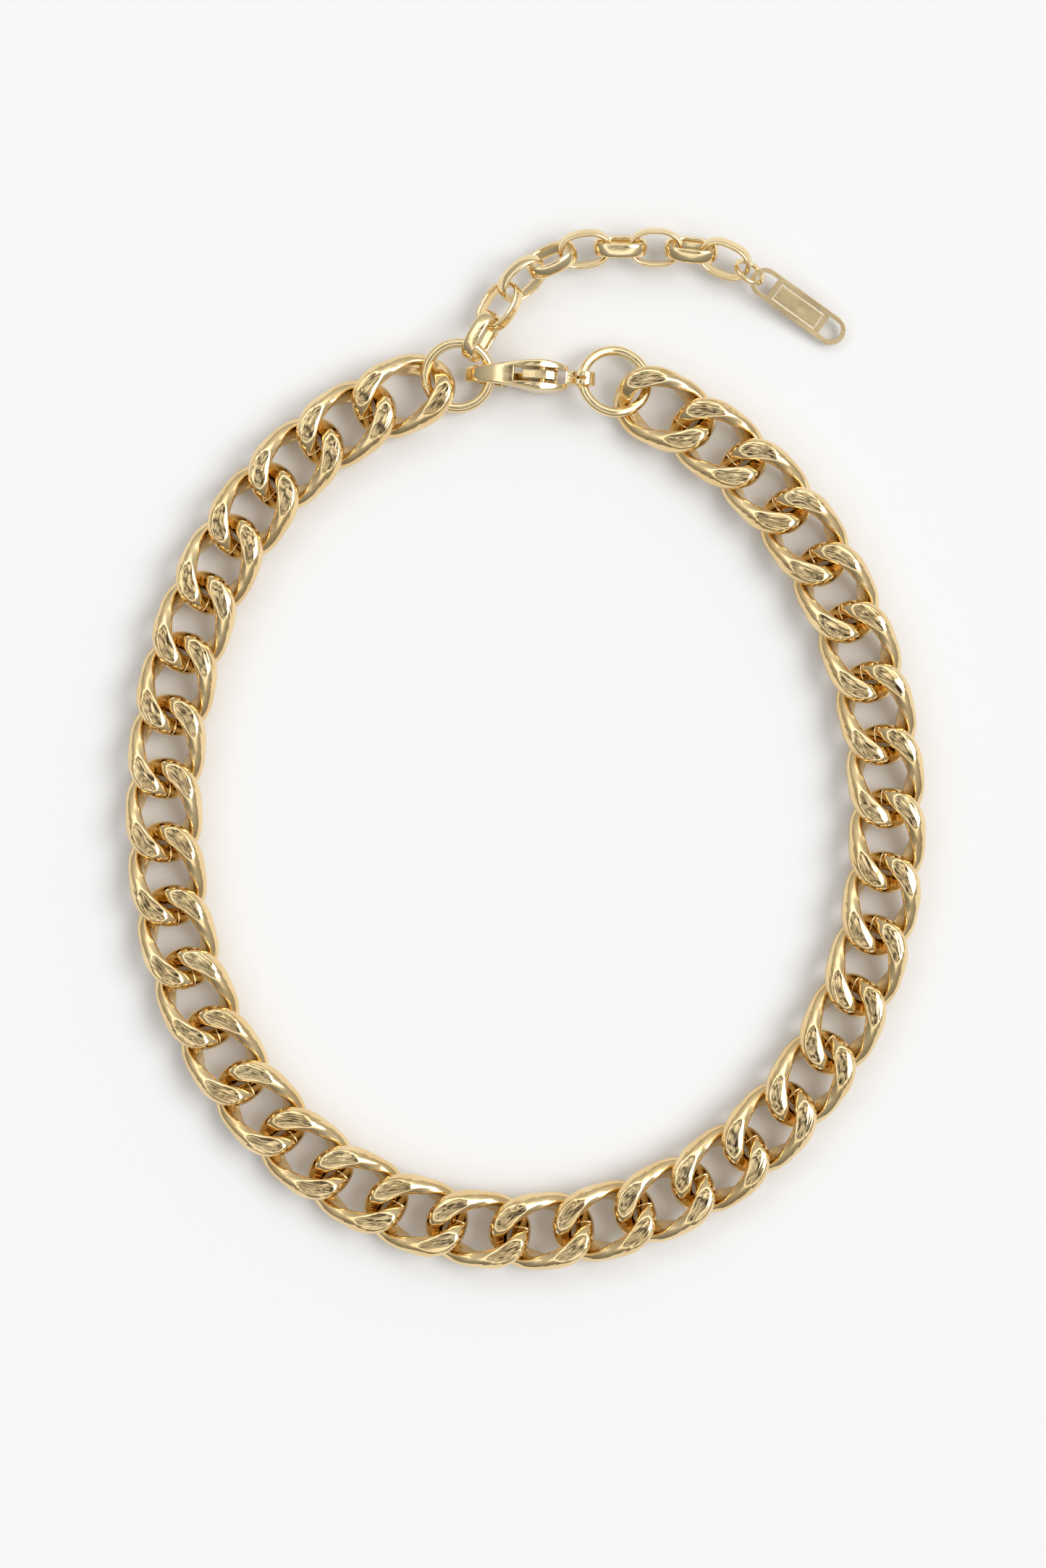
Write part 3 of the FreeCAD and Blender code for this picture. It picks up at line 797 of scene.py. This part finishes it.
def make_floor():
    material, nodes, links, principled = shader("pale_floor", (0.82, 0.82, 0.82), 0.6)
    principled.inputs["Metallic"].default_value = 0.0
    mesh = bpy.data.meshes.new("floor")
    half = 1.5
    corners = [(-half, -half, 0), (half, -half, 0), (half, half, 0), (-half, half, 0)]
    mesh.from_pydata(corners, [], [(0, 1, 2, 3)])
    floor = bpy.data.objects.new("floor", mesh)
    bpy.context.scene.collection.objects.link(floor)
    mesh.materials.append(material)


def make_world():
    """A studio surround told by the angle down from overhead: a dim ceiling with brighter strips
    and the dark of the camera in it, bright walls, and a dimmer lower part. The strips waver, so
    that flat polished faces pick up streaks."""
    world = bpy.data.worlds.new("studio")
    bpy.context.scene.world = world
    world.use_nodes = True
    nodes = world.node_tree.nodes
    links = world.node_tree.links
    direction = nodes.new("ShaderNodeTexCoord").outputs["Generated"]
    split = nodes.new("ShaderNodeSeparateXYZ")
    links.new(direction, split.inputs["Vector"])

    def arithmetic(operation, first, second=None, third=None):
        node = nodes.new("ShaderNodeMath")
        node.operation = operation
        for socket, value in zip(node.inputs, (first, second, third)):
            if isinstance(value, (int, float)):
                socket.default_value = value
            elif value is not None:
                links.new(value, socket)
        return node.outputs["Value"]

    fall = arithmetic("DIVIDE", arithmetic("ARCCOSINE", split.outputs["Z"]), math.pi)
    stretch = nodes.new("ShaderNodeMapping")
    stretch.inputs["Scale"].default_value = STREAK_STRETCH
    stretch.inputs["Rotation"].default_value = (0, 0, STREAK_TURN)
    links.new(direction, stretch.inputs["Vector"])
    waver = noise(nodes, links, 1.0, 2.0, stretch.outputs["Vector"])
    streaks = remap(nodes, links, waver, *STREAK_RANGE, floor=0.4, ceiling=0.6)
    below = remap(nodes, links, fall, 0.0, 1.0, floor=0.13, ceiling=0.19)
    streaks = arithmetic("MULTIPLY_ADD", arithmetic("SUBTRACT", 1.0, streaks), below, streaks)
    waver = arithmetic("MULTIPLY", arithmetic("SUBTRACT", waver, 0.5), STREAK_WAVER)
    fall = arithmetic("ADD", fall, waver)

    ramp = nodes.new("ShaderNodeValToRGB")
    elements = ramp.color_ramp.elements
    for element, (position, grey) in zip(elements, (STUDIO[0], STUDIO[-1])):
        element.position = position
        element.color = (grey, grey, grey, 1)
    for position, grey in STUDIO[1:-1]:
        elements.new(position).color = (grey, grey, grey, 1)
    links.new(fall, ramp.inputs["Fac"])
    lean = arithmetic("MULTIPLY_ADD", split.outputs["X"], STUDIO_LEAN[0], 1.0)
    lean = arithmetic("MULTIPLY_ADD", split.outputs["Y"], STUDIO_LEAN[1], lean)
    leaning = nodes.new("ShaderNodeVectorMath")
    leaning.operation = "SCALE"
    links.new(ramp.outputs["Color"], leaning.inputs[0])
    links.new(arithmetic("MULTIPLY", lean, streaks), leaning.inputs["Scale"])
    links.new(leaning.outputs["Vector"], nodes["Background"].inputs["Color"])
    nodes["Background"].inputs["Strength"].default_value = STUDIO_STRENGTH


def make_lights():
    """A broad key from the right."""
    light = bpy.data.lights.new("key", "SUN")
    light.energy = 1.36
    light.angle = math.radians(38)
    lamp = bpy.data.objects.new("key", light)
    bpy.context.scene.collection.objects.link(lamp)
    aim = -Vector((0.85, 0.0, 1.0))
    lamp.rotation_euler = aim.to_track_quat("-Z", "Y").to_euler()


def make_camera():
    """Straight down, with the frame's height on the object as the photograph has it."""
    camera = bpy.data.cameras.new("camera")
    camera.lens = 85
    camera.sensor_width = 36
    eye = bpy.data.objects.new("camera", camera)
    bpy.context.scene.collection.objects.link(eye)
    middle = (np.array(CAD_BOX[0]) + np.array(CAD_BOX[1])) / 2
    distance = VIEW_HEIGHT * camera.lens / camera.sensor_width
    eye.location = (middle[0] + VIEW_SHIFT[0], middle[1] + VIEW_SHIFT[1], middle[2] + distance)
    bpy.context.scene.camera = eye
    bpy.context.scene.view_settings.view_transform = "Standard"


make_curb_chain()
make_ring("right_jump_ring", RING_RADIUS, RING_WIRE)
make_ring("left_end_ring", RING_RADIUS, RING_WIRE)
make_clasp()
make_extender()
make_ring("tag_ring", TAG_RING_RADIUS, TAG_RING_WIRE, rows=96, columns=20)
make_tag()
frame["nodes"]["clasp_spring"].data.materials.clear()
frame["nodes"]["clasp_spring"].data.materials.append(STEEL)
make_floor()
make_world()
make_lights()
make_camera()
